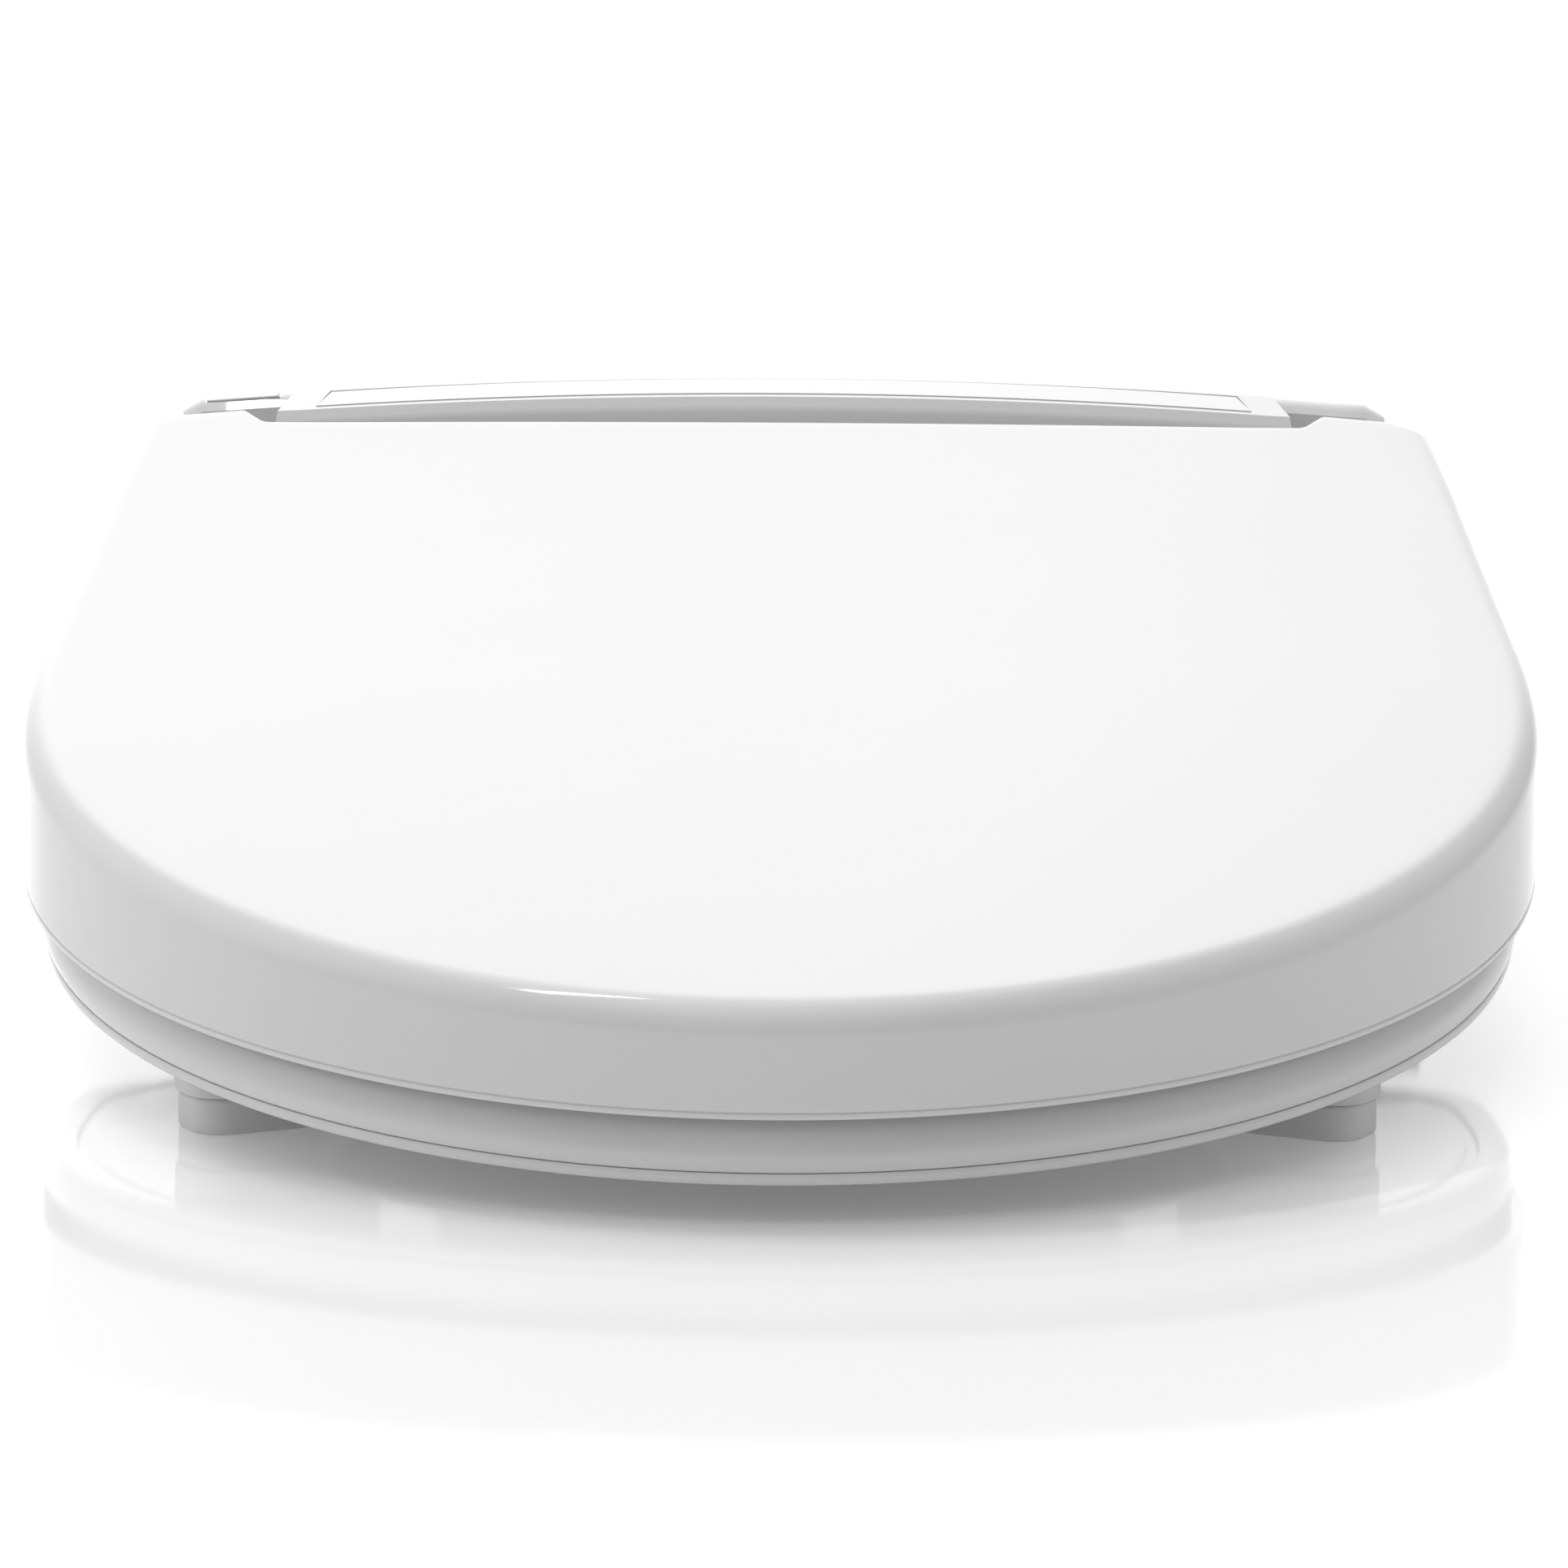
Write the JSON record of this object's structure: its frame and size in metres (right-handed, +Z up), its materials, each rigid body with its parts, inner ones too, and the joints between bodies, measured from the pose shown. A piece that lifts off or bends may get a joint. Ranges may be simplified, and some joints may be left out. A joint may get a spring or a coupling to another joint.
{
  "type": "electric bidet seat",
  "caption": "Electric washing toilet seat: hinged lid and heated ring on a slim rear unit with extending wash wands, water heating, warm air dryer and a slide-on mounting plate.",
  "frame": {"origin": "middle of the bounding box on the surface that the seat rests on", "axes": "+X to the sitter's left, which is the right side seen from the front; +Y from the front tip to the rear unit; +Z up"},
  "size_m": [0.386, 0.528, 0.1358],
  "materials": {
    "gloss_white": "glossy white moulded plastic",
    "satin_white": "satin white moulded plastic",
    "pale_grey_plastic": "pale grey moulded plastic",
    "dark_plastic": "dark grey moulded plastic",
    "white_rubber": "soft white rubber",
    "dark_rubber": "dark rubber",
    "steel": "brushed stainless steel",
    "heating_foil": "copper coloured heating foil",
    "circuit_board": "green solder mask",
    "hose": "translucent grey tubing"
  },
  "bodies": {
    "unit": {"top_cover": "gloss_white", "deck_panel": "gloss_white", "base_tray": "gloss_white", "hinge_tower_left": "satin_white", "hinge_tower_right": "satin_white", "soft_close_damper_left": "pale_grey_plastic", "soft_close_damper_right": "pale_grey_plastic", "base_foot_front_left": "dark_rubber", "base_foot_front_right": "dark_rubber", "base_foot_rear_left": "dark_rubber", "base_foot_rear_right": "dark_rubber", "wand_cradle": "pale_grey_plastic", "wash_wand_motor": "steel", "bidet_wand_motor": "steel", "water_tank": "pale_grey_plastic", "tank_heater": "steel", "circulation_pump": "dark_plastic", "inlet_valve": "pale_grey_plastic", "water_inlet": "steel", "supply_hose": "hose", "power_supply": "dark_plastic", "control_board": "circuit_board", "power_lead_gland": "dark_rubber", "blower_housing": "dark_plastic", "dryer_duct": "dark_plastic", "dryer_heater": "steel", "deodoriser_fan_frame": "dark_plastic"},
    "seat_ring": {"ring_upper_shell": "gloss_white", "ring_lower_shell": "gloss_white", "seat_heater": "heating_foil", "seat_bracket_left": "satin_white", "seat_bracket_right": "satin_white", "bumper_pad_left": "white_rubber", "bumper_pad_right": "white_rubber", "bumper_mount_left": "satin_white", "bumper_mount_right": "satin_white", "hinge_shaft_left": "steel"},
    "lid": {"lid_shell": "gloss_white", "lid_arm_left": "satin_white", "lid_arm_right": "satin_white", "lid_bumper_left": "white_rubber", "lid_bumper_right": "white_rubber", "hinge_shaft_right": "steel"},
    "wash_wand": {"wash_wand": "pale_grey_plastic", "wash_wand_tip": "satin_white"},
    "bidet_wand": {"bidet_wand": "pale_grey_plastic", "bidet_wand_tip": "satin_white"},
    "wash_wand_pinion": {"wash_wand_pinion": "pale_grey_plastic"},
    "bidet_wand_pinion": {"bidet_wand_pinion": "pale_grey_plastic"},
    "blower_impeller": {"blower_impeller": "pale_grey_plastic"},
    "deodoriser_rotor": {"deodoriser_fan_rotor": "dark_plastic"},
    "dryer_flap": {"dryer_flap": "gloss_white"},
    "filter_drawer": {"filter_cartridge": "dark_plastic", "filter_drawer_front": "gloss_white"},
    "ear_button": {"ear_button": "gloss_white"},
    "release_button": {"release_button": "pale_grey_plastic"},
    "mounting_plate": {"mounting_plate": "pale_grey_plastic", "bolt_insert_left": "dark_plastic", "bolt_insert_right": "dark_plastic"},
    "drain_plug": {"drain_plug": "satin_white"}
  },
  "joints": [
    {"name": "seat_hinge", "type": "hinge", "parent": "unit", "child": "seat_ring", "pos_m": [0, 0.214, 0.1105], "axis": [1, 0, 0], "range_deg": [-105, 0]},
    {"name": "lid_hinge", "type": "hinge", "parent": "seat_ring", "child": "lid", "pos_m": [0, 0.214, 0.1105], "axis": [-1, 0, 0], "range_deg": [0, 105]},
    {"name": "wash_wand_slide", "type": "slide", "parent": "unit", "child": "wash_wand", "axis": [0, -0.9659, -0.2588], "range_m": [0, 0.09]},
    {"name": "wash_wand_pinion_spin", "type": "hinge", "parent": "unit", "child": "wash_wand_pinion", "pos_m": [-0.013, 0.14082, 0.05177], "axis": [-1, 0, 0], "range_deg": [0, 800]},
    {"name": "bidet_wand_slide", "type": "slide", "parent": "unit", "child": "bidet_wand", "axis": [0, -0.9659, -0.2588], "range_m": [0, 0.09]},
    {"name": "bidet_wand_pinion_spin", "type": "hinge", "parent": "unit", "child": "bidet_wand_pinion", "pos_m": [0.013, 0.14082, 0.05177], "axis": [-1, 0, 0], "range_deg": [0, 800]},
    {"name": "blower_spin", "type": "hinge", "parent": "unit", "child": "blower_impeller", "pos_m": [0.069, 0.176, 0.046], "axis": [1, 0, 0], "continuous": true},
    {"name": "deodoriser_spin", "type": "hinge", "parent": "unit", "child": "deodoriser_rotor", "pos_m": [0.118, 0.154, 0.054], "axis": [0, 0, 1], "continuous": true},
    {"name": "dryer_flap_hinge", "type": "hinge", "parent": "unit", "child": "dryer_flap", "pos_m": [0.069, 0.1157, 0.039], "axis": [-1, 0, 0], "range_deg": [0, 70]},
    {"name": "filter_drawer_slide", "type": "slide", "parent": "unit", "child": "filter_drawer", "axis": [1, 0, 0], "range_m": [0, 0.04]},
    {"name": "ear_button_press", "type": "slide", "parent": "unit", "child": "ear_button", "axis": [0, 0, -1], "range_m": [0, 0.0015], "stiffness_N_per_m": 400},
    {"name": "release_button_press", "type": "slide", "parent": "unit", "child": "release_button", "axis": [-1, 0, 0], "range_m": [0, 0.003], "stiffness_N_per_m": 600},
    {"name": "mounting_plate_slide", "type": "slide", "parent": "unit", "child": "mounting_plate", "axis": [0, 1, 0], "range_m": [0, 0.02]},
    {"name": "drain_plug_turn", "type": "hinge", "parent": "unit", "child": "drain_plug", "pos_m": [-0.168, 0.206, 0.034], "axis": [-1, 0, 0], "range_deg": [0, 90]}
  ],
  "couplings": [
    {"joint": "wash_wand_pinion_spin", "follows": "wash_wand_slide", "rad_per_m": 153.85},
    {"joint": "bidet_wand_pinion_spin", "follows": "bidet_wand_slide", "rad_per_m": 153.85}
  ]
}
